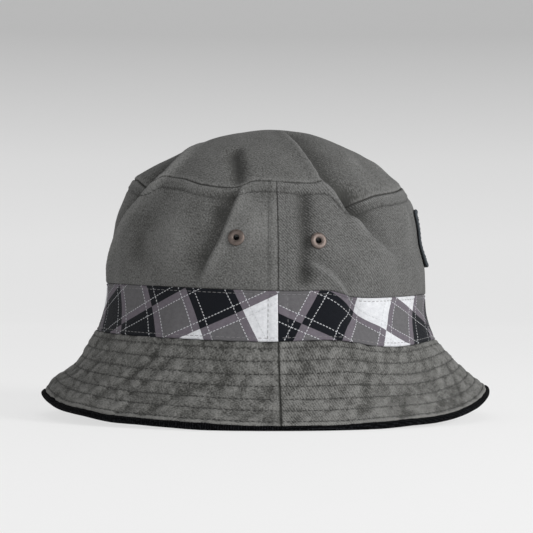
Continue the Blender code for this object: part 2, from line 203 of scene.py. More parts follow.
def crease_height(points):
    """How far each point moves out because of the creases."""
    points = np.asarray(points)
    height = np.zeros(points.shape[:-1])
    for (line, left, share), crest, crest_width, drop, drop_width, fade in CREASE_LINES:
        reach = 3.2 * max(crest_width, drop_width) * MM
        near = np.all((points > line.min(axis=0) - reach) & (points < line.max(axis=0) + reach), axis=-1)
        if not near.any():
            continue
        close = points[near]
        nearest = ((close[:, None] - line) ** 2).sum(axis=-1).argmin(axis=-1)
        offset = close - line[nearest]
        side = (offset * left[nearest]).sum(axis=-1) / MM
        distance = np.linalg.norm(offset, axis=-1) / MM
        ends = smooth_step(share[nearest] / fade) * smooth_step((1 - share[nearest]) / fade)
        rise = crest * bell(distance, crest_width)
        fall = drop * smooth_step(side / 3.0) * np.exp(-((distance / drop_width) ** 1.6))
        height[near] += ends * (rise - fall) * MM
    return height


print("creases:", len(CREASES))


# %% [markdown]
# Between the creases cloth is never quite smooth. Soft noise adds slow swells, and finer noise
# the crumple that washing leaves. The numbers come from seeded tables, so each run is the same.

# %% Unevenness
def soft_noise(across, up, seed):
    """Smooth noise from -1 to 1, whose bumps are one unit apart."""
    table = np.random.default_rng(seed).uniform(-1, 1, (128, 128))
    column, row = np.floor(across).astype(int), np.floor(up).astype(int)
    x, y = smooth_step(across - column), smooth_step(up - row)

    def corner(right, above):
        return table[(column + right) % 128, (row + above) % 128]

    lower = corner(0, 0) * (1 - x) + corner(1, 0) * x
    upper = corner(0, 1) * (1 - x) + corner(1, 1) * x
    return lower * (1 - y) + upper * y


def swell(points, size, seed):
    """Noise over points in space, the mean of three flat noises seen from three sides."""
    p = points / (size * MM)
    total = soft_noise(p[..., 0], p[..., 1], seed)
    total = total + soft_noise(p[..., 1] + 40, p[..., 2], seed + 1)
    return (total + soft_noise(p[..., 2] + 80, p[..., 0] + 40, seed + 2)) / 1.7


def body_relief(angle, station):
    """What every layer of the crown shares: creases and slow swells, calm at the brim seam."""
    points = pattern_point(angle, station)
    calm = smooth_step(station / 0.9)
    swells = swell(points, 34, 11) * 0.9 + swell(points, 15, 21) * 0.55
    return crease_height(points) * smooth_step(station / 0.5) + swells * MM * (0.25 + 0.75 * calm)


print("sample relief, mm:", (body_relief(np.array([-90.0, -62.0]), 1.8) / MM).round(2))

# %% [markdown]
# The band's two seams aren't level either: where a crease runs into the band they rise and sink
# by a few millimetres. The whole cloth near them shifts with them.

# %% Sagging seams
BAND_TOP_SAG = [(-180, 0), (-99, 0), (-84, 0.6), (-73, 1.9), (-69, 1.3), (-65, -1.4), (-57, -1.9),
                (-45, -0.9), (-30, 0.3), (-17, 1.3), (0, 0.8), (30, -0.8), (70, 0.6), (120, -0.6)]
BRIM_SEAM_SAG = [(-180, 0.4), (-140, -0.3), (-99, -0.2), (-90, 0.3), (-83, 1.4), (-72, 2.6), (-66, 1.8),
                 (-57, -0.7), (-45, -0.8), (-32, 1.2), (-19, 3.0), (0, 1.8), (40, -0.8), (80, 0.9),
                 (130, -0.7)]


def smooth_curve(curve, angle, spread):
    """A curve through (angle, value) pairs round the head, with its corners softened."""
    places, values = np.array(curve, float).T
    steps = np.linspace(-spread, spread, 5)
    return sum(np.interp(angle + step, places, values, period=360) for step in steps) / len(steps)


def sag(angle, station):
    """How far the cloth shifts up, in metres."""
    top = smooth_curve(BAND_TOP_SAG, angle, 2.5) * (1 - smooth_step((station - 1) / 0.4))
    bottom = smooth_curve(BRIM_SEAM_SAG, angle, 3.0) * (1 - smooth_step(-station / 0.7))
    share = smooth_step(station)
    return (top * share + bottom * (1 - share)) * MM


print("sag at the band's top, mm:", (sag(np.array([-73.0, -57.0]), 1) / MM).round(2))

# %% [markdown]
# ## Where the tip seam runs
#
# The seam between the side and the tip isn't level. It climbs and drops with the creases, so its
# station is a smooth curve through a few chosen places round the head.

# %% The tip seam
TIP_SEAM = [
    (-180, -0.030), (-164, -0.045), (-152, -0.105), (-147, -0.085), (-142, 0.012), (-131, 0.008),
    (-122, -0.030), (-113, -0.038), (-105, -0.015), (-100, 0.040), (-87, 0.034), (-69, 0.026),
    (-66, -0.060), (-62, -0.165), (-54, -0.140), (-46, -0.105), (-27, -0.080), (-8, -0.045),
    (20, 0.000), (60, 0.020), (100, -0.020), (140, 0.010), (165, -0.010),
]


def tip_seam_station(angle):
    return 2 + smooth_curve(TIP_SEAM, np.asarray(angle, float), 1.6)


# %% [markdown]
# ## Seam edges
#
# Two panels are sewn face to face and opened out, so each edge rolls down into a narrow ditch.
# The roll is a quarter circle, and the rows of the grid crowd together there to keep it round.

# %% Grid rows and rolled edges
ROLL = 1.25 * MM


def roll_drop(distance, radius=ROLL):
    """How far the cloth has rolled down at a distance from its seam."""
    inside = 1 - np.clip(np.abs(distance) / radius, 0, 1)
    return radius * (1 - np.sqrt(np.clip(1 - inside**2, 0, 1)))


def edge_crowded(count, length, last=True):
    """Distances from 0 to length, with a fine start and end for the rolls."""
    fine = np.array([0, 0.08, 0.25, 0.5, 0.8, 1.2]) * MM
    inner = np.linspace(1.8 * MM, length - 1.8 * MM, count)
    end = length - fine[::-1] if last else np.array([length])
    return np.concatenate([fine, inner, end])


def new_piece(name, vertices, faces, finish, edges=()):
    """A smooth mesh with one finish, put into the scene."""
    mesh = bpy.data.meshes.new(name)
    mesh.from_pydata(vertices, edges, faces)
    mesh.materials.append(finish)
    mesh.shade_smooth()
    piece = bpy.data.objects.new(name, mesh)
    bpy.context.scene.collection.objects.link(piece)
    return piece


def between_rings(index):
    """Four-sided faces between each ring of vertices and the next."""
    after = np.roll(index, -1, axis=-1)
    corners = index[..., :-1, :], after[..., :-1, :], after[..., 1:, :], index[..., 1:, :]
    return np.stack(corners, axis=-1).reshape(-1, 4)


def lay_panel(name, points, uv, finish, thickness, attributes=None, wrap=False, peak=None):
    """A sheet of cloth through a grid of points, rows from low to high, as thick as its cloth."""
    rows, columns = points.shape[:2]
    index = np.arange(rows * columns).reshape(rows, columns)
    if wrap:
        index = np.concatenate([index, index[:, :1]], axis=1)
    corners = [index[:-1, :-1], index[:-1, 1:], index[1:, 1:], index[1:, :-1]]
    faces = np.stack(corners, axis=-1).reshape(-1, 4).tolist()
    vertices = points.reshape(-1, 3)
    spots = uv.reshape(-1, 2)
    if peak is not None:
        top = len(vertices)
        faces += [(int(a), int(b), top) for a, b in zip(index[-1, :-1], index[-1, 1:])]
        vertices = np.vstack([vertices, peak[0]])
        spots = np.vstack([spots, peak[1]])
    panel = new_piece(name, vertices.tolist(), faces, finish)
    mesh = panel.data
    corner_vertices = np.zeros(len(mesh.loops), np.int32)
    mesh.loops.foreach_get("vertex_index", corner_vertices)
    cloth_map = mesh.uv_layers.new(name="cloth")
    cloth_map.data.foreach_set("uv", spots[corner_vertices].astype(np.float32).ravel())
    for key, values in (attributes or {}).items():
        flat = np.append(values.ravel(), [values.ravel()[-1]] * (len(vertices) - values.size))
        mesh.attributes.new(key, "FLOAT", "POINT").data.foreach_set("value", flat.astype(np.float32))
    shell = panel.modifiers.new("thickness", "SOLIDIFY")
    shell.thickness = thickness
    shell.offset = -1
    return panel


def attach(piece, slot, *nodes, body="hat"):
    """The piece moves with its body and stands for its plain panels. Its slot is not used."""
    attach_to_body(piece, body)
    if nodes:
        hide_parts(*nodes)
    faces = len(piece.data.polygons) if piece.type == "MESH" else 0
    print(f"{piece.name}: {faces} faces, rides on {body}")


# %% [markdown]
# ## Materials
#
# Twill's threads step sideways row by row, which draws slanted lines. A wave across the panel's
# own cloth map makes them, in millimetres, and three sizes of noise fade and mottle the dye the
# way washing does. The same recipe serves the grey and the black cloth with other colours.

# %% Node helpers
def new_finish(name, roughness, sheen=0.0, shine=0.5):
    finish = bpy.data.materials.new(name)
    finish.use_nodes = True
    shader = finish.node_tree.nodes["Principled BSDF"]
    shader.inputs["Roughness"].default_value = roughness
    shader.inputs["Sheen Weight"].default_value = sheen
    shader.inputs["Specular IOR Level"].default_value = shine
    return finish, finish.node_tree, shader


def add(tree, kind, **settings):
    node = tree.nodes.new(kind)
    for key, value in settings.items():
        setattr(node, key, value)
    return node


def plug(tree, value, socket):
    """Connects an output, or sets a plain value."""
    if isinstance(value, bpy.types.NodeSocket):
        tree.links.new(value, socket)
    else:
        socket.default_value = value


def calculate(tree, operation, first, second=0.0, third=0.0):
    node = add(tree, "ShaderNodeMath", operation=operation)
    for socket, value in zip(node.inputs, (first, second, third)):
        plug(tree, value, socket)
    return node.outputs[0]


def blend_colours(tree, share, first, second, mode="MIX"):
    node = add(tree, "ShaderNodeMix", data_type="RGBA", blend_type=mode)
    plug(tree, share, node.inputs["Factor"])
    plug(tree, first, node.inputs["A"])
    plug(tree, second, node.inputs["B"])
    return node.outputs["Result"]


def noise(tree, place, size, detail=3.0, roughness=0.55):
    """Noise whose bumps are size millimetres wide."""
    node = add(tree, "ShaderNodeTexNoise")
    node.inputs["Scale"].default_value = 1 / (size * MM)
    node.inputs["Detail"].default_value = detail
    node.inputs["Roughness"].default_value = roughness
    plug(tree, place, node.inputs["Vector"])
    return node.outputs["Fac"]


def slanted_lines(tree, place, pitch, slant, wander=0.0):
    """Lines across the cloth map, pitch millimetres apart, slant degrees from the warp."""
    turned = add(tree, "ShaderNodeVectorRotate", rotation_type="Z_AXIS")
    turned.inputs["Angle"].default_value = math.radians(slant)
    plug(tree, place, turned.inputs["Vector"])
    wave = add(tree, "ShaderNodeTexWave", wave_type="BANDS", bands_direction="X")
    wave.inputs["Scale"].default_value = math.pi / (10 * pitch * MM)
    wave.inputs["Distortion"].default_value = wander
    wave.inputs["Detail"].default_value = 1.0
    wave.inputs["Detail Scale"].default_value = 2.0
    plug(tree, turned.outputs["Vector"], wave.inputs["Vector"])
    return wave.outputs["Fac"]


def from_middle(tree, line):
    """How far a line is from the middle of its repeat: 0 there, and 0.5 between two repeats."""
    return calculate(tree, "ABSOLUTE", calculate(tree, "SUBTRACT", calculate(tree, "FRACT", line), 0.5))


def cloth_place(tree):
    return add(tree, "ShaderNodeUVMap", uv_map="cloth").outputs["UV"]


def object_place(tree):
    return add(tree, "ShaderNodeTexCoord").outputs["Object"]


def split_place(tree, place):
    """The X, Y and Z of a place."""
    node = add(tree, "ShaderNodeSeparateXYZ")
    plug(tree, place, node.inputs[0])
    return node.outputs


def bump(tree, shader, height, distance):
    node = add(tree, "ShaderNodeBump")
    node.inputs["Strength"].default_value = 1.0
    node.inputs["Distance"].default_value = distance * MM
    plug(tree, height, node.inputs["Height"])
    plug(tree, node.outputs["Normal"], shader.inputs["Normal"])


# %% Washed twill
def twill(name, dark, light, pitch=1.3, slant=-45.0, mottle=0.5, fade=0.5, weave=0.45, blotch=14.0,
          shine=0.2):
    """Washed twill: slanted ribs, a heathered dye, and the fade attribute, which makes worn places paler and
    paints shade into seams, creases and puckers.
    """
    finish, tree, shader = new_finish(name, 0.92, shine / 4, shine)
    place = cloth_place(tree)
    ribs = slanted_lines(tree, place, pitch, slant, wander=1.6)
    patches = noise(tree, place, blotch, 4.0)
    flecks = noise(tree, place, 2.6, 3.0, 0.7)
    threads = noise(tree, place, 1.0, 1.5)
    # the fade attribute: paler where the cloth is worn, and painted shade in seams, creases and puckers
    wear_and_shade = add(tree, "ShaderNodeAttribute", attribute_name="fade").outputs["Fac"]
    tone = calculate(tree, "MULTIPLY_ADD", wear_and_shade, fade, 0.5)
    for layer, strength in ((patches, mottle * 1.2), (flecks, mottle * 1.4), (threads, 1.9), (ribs, weave)):
        tone = calculate(tree, "ADD", tone, calculate(tree, "MULTIPLY_ADD", layer, strength, -strength / 2))
    colour = blend_colours(tree, calculate(tree, "MAXIMUM", 0, tone), (*dark, 1), (*light, 1))
    plug(tree, colour, shader.inputs["Base Color"])
    rough = calculate(tree, "MULTIPLY_ADD", flecks, 0.12, 0.84)
    plug(tree, rough, shader.inputs["Roughness"])
    relief = calculate(tree, "MULTIPLY_ADD", threads, 1.6, calculate(tree, "MULTIPLY", ribs, 2 * weave))
    bump(tree, shader, relief, 0.22)
    return finish


GREY_TWILL = twill("washed_grey_twill", (0.045, 0.045, 0.0425), (0.153, 0.153, 0.149), weave=0.12)
RIBBED_TWILL = twill("ribbed_grey_twill", (0.042, 0.042, 0.040), (0.143, 0.143, 0.140), weave=0.40)
BRIM_TWILL = {
    half: twill("brim_twill_" + half, (0.036, 0.036, 0.033), (0.160, 0.159, 0.152), slant=23.0,
                mottle=0.6, fade=1.0, weave=weave, blotch=4.5)
    for half, weave in (("front", 0.35), ("back", 0.10))
}
LINING_TWILL = twill("lining_twill", (0.004, 0.004, 0.005), (0.020, 0.021, 0.024), shine=0.1)
BLACK_TWILL = twill("black_twill", (0.001, 0.0011, 0.0014), (0.017, 0.018, 0.021), mottle=0.3, shine=0.03)
print("twill nodes:", len(GREY_TWILL.node_tree.nodes))

# %% [markdown]
# The band is a check cut on the bias: black, grey and white squares standing on their corners,
# with a pick stitch of white dashes inside every edge. Two slanted coordinates count the squares.
# Each square's tone follows from how far it is along a repeat of white, grey, black, grey.

# %% Bias-cut check
CHECK_TILT = 27.0
PICK_INSET = 4.3
PICK_HALF_WIDTH = 0.23
PICK_REPEAT = 1.9
PICK_SHARE = 0.6  # of each repeat shows as a dash
WHITE = (0.67, 0.68, 0.70, 1)
GREY = (0.122, 0.119, 0.124, 1)
GREY_EDGE = (0.142, 0.126, 0.146, 1)
BLACK = (0.0042, 0.0055, 0.0085, 1)
PICK_WHITE = (0.55, 0.56, 0.58, 1)


def pick_stitch(tree, line, run, check):
    """1 on the white dashes that run inside both edges of a row of squares."""
    middle = from_middle(tree, line)
    away = calculate(tree, "ABSOLUTE", calculate(tree, "SUBTRACT", middle, 0.5 - PICK_INSET / check))
    on_line = calculate(tree, "LESS_THAN", away, PICK_HALF_WIDTH / check)
    beat = calculate(tree, "FRACT", calculate(tree, "DIVIDE", run, PICK_REPEAT))
    return calculate(tree, "MULTIPLY", on_line, calculate(tree, "LESS_THAN", beat, PICK_SHARE))


def bias_check(name, check, first_rising, first_falling, mirror, turned):
    """The printed check. The lines' first places are in mm, measured square to the lines."""
    finish, tree, shader = new_finish(name, 0.82, sheen=0.05, shine=0.12)
    place = cloth_place(tree)
    split = split_place(tree, place)
    along = calculate(tree, "MULTIPLY", split["X"], mirror / MM)
    up = calculate(tree, "MULTIPLY", split["Y"], 1 / MM)
    cosine, sine = math.cos(math.radians(CHECK_TILT)), math.sin(math.radians(CHECK_TILT))
    rising = calculate(tree, "MULTIPLY_ADD", along, -sine, calculate(tree, "MULTIPLY", up, cosine))
    falling = calculate(tree, "MULTIPLY_ADD", along, cosine, calculate(tree, "MULTIPLY", up, sine))
    row_line = calculate(tree, "DIVIDE", calculate(tree, "SUBTRACT", rising, first_rising), check)
    column_line = calculate(tree, "DIVIDE", calculate(tree, "SUBTRACT", first_falling, falling), check)
    row = calculate(tree, "ADD", calculate(tree, "FLOOR", row_line), 1)
    column = calculate(tree, "ADD", calculate(tree, "FLOOR", column_line), 1)
    # every other square is grey, and the rest are two black rows, then two white ones
    main, cross, sign, start = (column, row, -1, 2) if turned else (row, column, 1, 0)
    odd = calculate(tree, "MULTIPLY", calculate(tree, "FLOORED_MODULO", cross, 2), sign)
    step = calculate(tree, "ADD", calculate(tree, "ADD", main, odd), start + 8)
    step = calculate(tree, "FLOORED_MODULO", step, 4)
    is_white = calculate(tree, "COMPARE", step, 0, 0.5)
    is_black = calculate(tree, "COMPARE", step, 2, 0.5)
    furthest = calculate(tree, "MAXIMUM", from_middle(tree, row_line), from_middle(tree, column_line))
    rim = calculate(tree, "GREATER_THAN", furthest, 0.5 - PICK_INSET / check)
    colour = blend_colours(tree, rim, GREY, GREY_EDGE)
    colour = blend_colours(tree, is_white, colour, WHITE)
    colour = blend_colours(tree, is_black, colour, BLACK)
    dashes = calculate(tree, "MAXIMUM", pick_stitch(tree, row_line, falling, check),
                       pick_stitch(tree, column_line, rising, check))
    colour = blend_colours(tree, dashes, colour, PICK_WHITE)
    dye = noise(tree, place, 2.6, 4.0, 0.75)
    colour = blend_colours(tree, calculate(tree, "MULTIPLY_ADD", dye, 2.6, -1.0), colour,
                           (0.74, 0.74, 0.755, 1), mode="MULTIPLY")
    plug(tree, colour, shader.inputs["Base Color"])
    warp, weft = (slanted_lines(tree, place, 0.45, slant) for slant in (45, -45))
    height = calculate(tree, "ADD", warp, weft)
    height = calculate(tree, "MULTIPLY_ADD", dashes, 2.2, height)
    bump(tree, shader, height, 0.10)
    return finish


CHECK_BACK = bias_check("bias_check_back", 25.8, 24.3, -9.1, 1, turned=False)
CHECK_FRONT = bias_check("bias_check_front", 23.8, 14.5, -6.9, -1, turned=True)
print("check nodes:", len(CHECK_BACK.node_tree.nodes))


# %% Thread, metal and ribbon
def thread(name, colour, pale):
    """Sewing thread: its fuzz shows as fine light and dark."""
    finish, tree, shader = new_finish(name, 0.75, sheen=0.1)
    fuzz = noise(tree, object_place(tree), 0.35, 2.0)
    plug(tree, blend_colours(tree, fuzz, (*colour, 1), (*pale, 1)), shader.inputs["Base Color"])
    bump(tree, shader, fuzz, 0.08)
    return finish


def antique_metal(name):
    """Dull bronze plating with a darker film in the low places; below the dome, in the barrel and on the
    washer, painted shade: black and not metallic.
    """
    finish, tree, shader = new_finish(name, 0.48)
    place = object_place(tree)
    film = noise(tree, place, 1.6, 5.0, 0.7)
    # painted shade below the dome's rim, in the barrel and on the washer: black, and not metallic
    outside = calculate(tree, "GREATER_THAN", split_place(tree, place)["Z"], 0.3 * MM)
    colour = blend_colours(tree, film, (0.035, 0.028, 0.025, 1), (0.20, 0.160, 0.142, 1))
    plug(tree, blend_colours(tree, outside, (0.004, 0.0035, 0.003, 1), colour), shader.inputs["Base Color"])
    plug(tree, calculate(tree, "MULTIPLY", outside, 0.75), shader.inputs["Metallic"])
    plug(tree, calculate(tree, "MULTIPLY_ADD", film, 0.3, 0.34), shader.inputs["Roughness"])
    bump(tree, shader, noise(tree, place, 0.4, 3.0), 0.03)
    return finish


GREY_THREAD = thread("grey_thread", (0.010, 0.010, 0.0095), (0.036, 0.036, 0.034))
WORN_THREAD = thread("worn_thread", (0.028, 0.028, 0.027), (0.085, 0.085, 0.082))
BRIM_THREAD = thread("brim_thread", (0.005, 0.005, 0.0048), (0.020, 0.020, 0.019))
BAND_THREAD = thread("band_thread", (0.100, 0.098, 0.100), (0.220, 0.218, 0.220))
EYELET_METAL = antique_metal("antique_bronze")
RIBBON = twill("label_ribbon", (0.50, 0.50, 0.48), (0.78, 0.78, 0.76), pitch=0.3, mottle=0.1)
STIFFENER = twill("stiffener_cloth", (0.40, 0.39, 0.36), (0.62, 0.61, 0.58), pitch=0.8, mottle=0.2)
BADGE_CLOTH = twill("badge_cloth", (0.018, 0.023, 0.030), (0.070, 0.084, 0.104), pitch=0.7)
BADGE_THREAD = thread("badge_thread", (0.008, 0.011, 0.014), (0.035, 0.045, 0.054))
print("finishes:", len(bpy.data.materials))

# %% [markdown]
# ## The crown's side panels
#
# Two panels meet at the wearer's right and left. Their grid follows the pattern from the band up
# to the tip seam. The allowance of the tip seam is pressed down behind them and stitched 6 mm
# below the seam, which shows as a low padded step.

# %% Crown relief
HALVES = {"front": (RIGHT, LEFT), "back": (LEFT, RIGHT + 360)}
SEAM_LINE = 0.02 * MM
TOPSTITCH_BELOW_TIP = 6.0 * MM
TOPSTITCH_BESIDE_SEAM = 5.4 * MM
SIDE_ROLL = 0.7 * MM
PLEATS_AT, PLEAT_PITCH = -111, 3.4 * MM  # small pleats under the tip seam, behind the right seam
TWILL_CLOTH = 0.9 * MM
THIN_CLOTH = 0.5 * MM
RADIUS = float(CROWN_HALF.mean())


def side_seam_distance(angle):
    """How far along the cloth the nearer side seam is."""
    turn = (np.asarray(angle, float) - RIGHT) % 180
    return np.radians(np.minimum(turn, 180 - turn)) * RADIUS


def stitched_step(distance, line, rise, pull=0.45 * MM):
    """Cloth padded up by rise beside a seam, as far as the stitch line, which pulls a dent."""
    pad = smooth_step((line - distance) / (1.2 * MM)) * rise
    return pad - pull * bell(distance - line, 0.8 * MM)


def crown_relief(angle, station):
    """The outer face of the crown, over and above the pattern."""
    points = pattern_point(angle, station)
    to_tip = np.abs(tip_seam_station(angle) - station) * SIDE_HEIGHT
    to_band = np.abs(station - 1) * SIDE_HEIGHT
    to_side = side_seam_distance(angle)
    relief = body_relief(angle, station)
    relief = relief + stitched_step(to_tip, TOPSTITCH_BELOW_TIP, 0.6 * MM)
    relief = relief + stitched_step(to_side, TOPSTITCH_BESIDE_SEAM, 0.45 * MM, 0.2 * MM)
    relief = relief + 0.14 * MM * swell(points, 5, 31)
    pucker = bell(to_tip - 5 * MM, 5 * MM) + 0.6 * bell(to_side - 4 * MM, 5 * MM)
    relief = relief + 0.40 * MM * pucker * swell(points, 6, 41)
    pleats = bell(angle - PLEATS_AT, 9) * bell(to_tip - 3 * MM, 2.2 * MM)
    relief = relief + 0.45 * MM * pleats * np.sin(np.radians(angle) * RADIUS / PLEAT_PITCH * 2 * math.pi)
    drop = np.maximum(np.maximum(roll_drop(to_tip), roll_drop(to_side, SIDE_ROLL)), roll_drop(to_band))
    return relief - drop


def cloth_point(angle, station, relief):
    points = pattern_point(angle, station) + pattern_normal(angle, station) * relief[..., None]
    points[..., 2] += sag(angle, station)
    return points


def half_columns(half, count):
    """A row of angles across one half, crowded at the side seams."""
    length = math.pi * RADIUS
    along = edge_crowded(count, length - 2 * SEAM_LINE) + SEAM_LINE
    return (HALVES[half][0] + along / length * 180)[None, :]


def cloth_map(angle, height):
    """The cloth map's places: metres round the head from the wearer's right, and metres up."""
    turn = (np.asarray(angle) - RIGHT + 180) % 360 - 180
    across, up = np.broadcast_arrays(np.radians(turn) * RADIUS, height)
    return np.stack([across, up], axis=-1)


# %% Lay the side panels
def side_grid(half, columns, rows):
    angle = half_columns(half, columns)
    share = edge_crowded(rows, SIDE_HEIGHT - 2 * SEAM_LINE) + SEAM_LINE
    share = (share / SIDE_HEIGHT)[:, None]
    station = 1 + share * (tip_seam_station(angle) - 1)
    return np.broadcast_to(angle, station.shape), station


def worn_edge(distance):
    """Paler a little way in from a seam or a turned edge, where cloth rubs."""
    return bell(distance - 1.0 * MM, 1.6 * MM)


def ditch(distance):
    """Darker along a stitch line or seam, where light doesn't reach and dye stays."""
    return bell(distance, 0.55 * MM)


for half in HALVES:
    angle, station = side_grid(half, 250, 60)
    points = cloth_point(angle, station, crown_relief(angle, station))
    to_tip = (tip_seam_station(angle) - station) * SIDE_HEIGHT
    to_side = side_seam_distance(angle)
    fade = 0.5 * worn_edge(to_tip) + 0.3 * worn_edge(to_side)
    # creases also set the tone: paler on their crests, and painted shade in their valleys
    fade = fade + 0.32 * crease_height(pattern_point(angle, station)) / MM
    # painted shade along the tip seam, the stitch line below it and the side seams
    fade = fade - 2.2 * ditch(to_tip) - 0.7 * ditch(to_tip - TOPSTITCH_BELOW_TIP) - 0.9 * ditch(to_side)
    panel = lay_panel("crown_cloth_" + half, points, cloth_map(angle, station * SIDE_HEIGHT),
                      RIBBED_TWILL if half == "front" else GREY_TWILL, TWILL_CLOTH, {"fade": fade})
    attach(panel, "grey_twill", "crown_side_" + half)


# %% [markdown]
# ## The tip
#
# The oval tip is one panel. Its grid runs round the head and in to a single middle point, so its
# weave can't follow the rows: the cloth map is laid flat across it instead, as the cloth was cut.

# %% Lay the tip
TIP_RADIUS = float(TIP_HALF.mean())


def tip_relief(angle, station):
    points = pattern_point(angle, station)
    to_seam = np.abs(station - tip_seam_station(angle)) * TIP_RADIUS
    relief = body_relief(angle, station) + 0.10 * MM * swell(points, 5, 31)
    relief = relief + 0.25 * MM * bell(to_seam - 3 * MM, 5 * MM) * swell(points, 7, 41)
    return relief - roll_drop(to_seam)


def tip_grid(columns, rows):
    angle = np.linspace(-180, 180, columns, endpoint=False)[None, :]
    share = edge_crowded(rows, TIP_RADIUS * 0.97, last=False) + SEAM_LINE
    share = (share / TIP_RADIUS)[:, None]
    seam = tip_seam_station(angle)
    station = seam + share * (3 - seam)
    return np.broadcast_to(angle, station.shape), station


angle, station = tip_grid(400, 60)
points = cloth_point(angle, station, tip_relief(angle, station))
to_seam = (station - tip_seam_station(angle)) * TIP_RADIUS
# painted shade along the tip seam; creases paler on their crests, with painted shade in their valleys
fade = 0.5 * worn_edge(to_seam) - 2.2 * ditch(to_seam)
fade = fade + 0.32 * crease_height(pattern_point(angle, station)) / MM
peak_at = np.array([0.0]), np.array([3.0])
middle = cloth_point(*peak_at, body_relief(*peak_at))
tip = lay_panel("crown_tip_cloth", points, pattern_point(angle, station)[..., :2], GREY_TWILL,
                TWILL_CLOTH, {"fade": fade}, wrap=True, peak=(middle, middle[:, :2]))
attach(tip, "grey_twill", "crown_tip")

# %% [markdown]
# ## The printed band
#
# The band is flush with the crown, so it uses the same rolled edges. Each half has its own print,
# mirrored at the side seam as the real pieces are, and is stitched close to both edges.

# %% Lay the band
EDGE_STITCH = 2.0 * MM
TUCK_AT = 46  # mm in front of the right seam


def band_relief(angle, station):
    points = pattern_point(angle, station)
    to_top, to_bottom = (1 - station) * BAND_HEIGHT, station * BAND_HEIGHT
    to_side = side_seam_distance(angle)
    pucker = bell(np.minimum(to_top, to_bottom) - 3 * MM, 5 * MM)
    relief = body_relief(angle, station)
    relief = relief + MM * (0.16 * swell(points, 9, 51) + 0.22 * pucker * swell(points, 5, 53))
    for distance in (to_top, to_bottom):
        relief = relief + stitched_step(distance, EDGE_STITCH, 0.15 * MM)
    relief = relief + stitched_step(to_side, TOPSTITCH_BESIDE_SEAM, 0.25 * MM)
    drop = np.maximum(roll_drop(to_top), roll_drop(to_bottom))
    return relief - np.maximum(drop, roll_drop(to_side, 0.6 * MM))


def tucked(place):
    """The print where the main crease takes in some cloth: less of it shows near the band's top."""
    away = place[..., 0] / MM - TUCK_AT
    take = 4.0 * smooth_step((place[..., 1] / MM - 8) / 14) * np.tanh(away / 5) * bell(away, 20)
    return place + np.stack([take * MM, 0 * take], axis=-1)


for half, print_finish in (("front", CHECK_FRONT), ("back", CHECK_BACK)):
    angle = half_columns(half, 230)
    height = edge_crowded(18, BAND_HEIGHT - 2 * SEAM_LINE) + SEAM_LINE
    station = (height / BAND_HEIGHT)[:, None]
    angle, station = np.broadcast_arrays(angle, station)
    points = cloth_point(angle, station, band_relief(angle, station))
    panel = lay_panel("band_" + half, points, tucked(cloth_map(angle, station * BAND_HEIGHT)),
                      print_finish, TWILL_CLOTH)
    attach(panel, "printed_cotton", "plaid_band_" + half)

# %% [markdown]
# ## The brim
#
# Seven rows of stitching hold two cloths and a stiffener together. The thread pulls the cloth
# down along each row, it puffs up between them, and washing shrinks it into short slanted
# puckers. All three are added to the pattern before the grid is laid.

# %% Brim relief
BRIM_SLANT = 50.0 * MM
STITCH_ROWS = [-0.065, -0.190, -0.325, -0.460, -0.615, -0.765, -0.930]
BRIM_OPENING = 0.56  # laid flat, the brim spans this share of its turn
EDGE_ROLL = 1.5 * MM


def brim_swell(angle, station):
    """The brim's slow waves, which both its cloths share."""
    points = pattern_point(angle, station)
    calm = smooth_step(-station / 0.3)
    curl = 2.4 * bell(np.asarray(angle) % 360 - 180, 32) * bell(station + 0.78, 0.2)
    return (swell(points, 40, 61) * 0.9 + swell(points, 17, 71) * 0.45 + curl) * MM * calm


def row_distance(station):
    return np.min([np.abs(station - row) for row in STITCH_ROWS], axis=0) * BRIM_SLANT


def brim_relief(angle, station):
    turn = (np.asarray(angle) - RIGHT) % 360
    across = np.radians(turn) * RADIUS * 1.15
    down = -station * BRIM_SLANT
    dent = bell(row_distance(station), 0.6 * MM)
    puff = smooth_step(row_distance(station) / (3.0 * MM))
    drag = soft_noise((across + 0.8 * down) / (6.5 * MM), down / (20 * MM), 87)
    slanted = soft_noise((across + 0.5 * down) / (4.2 * MM), down / (6.5 * MM), 81)
    crossed = soft_noise((across - 0.6 * down) / (3.0 * MM), down / (4.2 * MM) + 9, 83)
    fine = soft_noise(across / (1.7 * MM), down / (1.9 * MM), 85)
    pucker = 0.46 * drag + 0.42 * slanted + 0.34 * crossed + 0.16 * fine
    to_side = side_seam_distance(angle)
    relief = brim_swell(angle, station)
    relief = relief + MM * (0.10 * puff - 0.20 * dent + pucker * (1 - 0.5 * dent))
    relief = relief + 0.25 * MM * smooth_step((4 * MM - to_side) / (2 * MM))
    to_edge = (1 + station) * BRIM_SLANT
    drop = np.maximum(roll_drop(to_side, SIDE_ROLL), roll_drop(down))
    return relief - np.maximum(drop, roll_drop(to_edge, EDGE_ROLL))


def brim_map(half, angle, station):
    """The brim is cut as an arc, so its cloth map is that arc laid flat and the weave turns with it."""
    middle = 0 if half == "front" else 180
    swing = np.radians((angle - middle) * BRIM_OPENING)
    reach = RADIUS / BRIM_OPENING - station * BRIM_SLANT
    return np.stack([reach * np.sin(swing), -reach * np.cos(swing)], axis=-1)


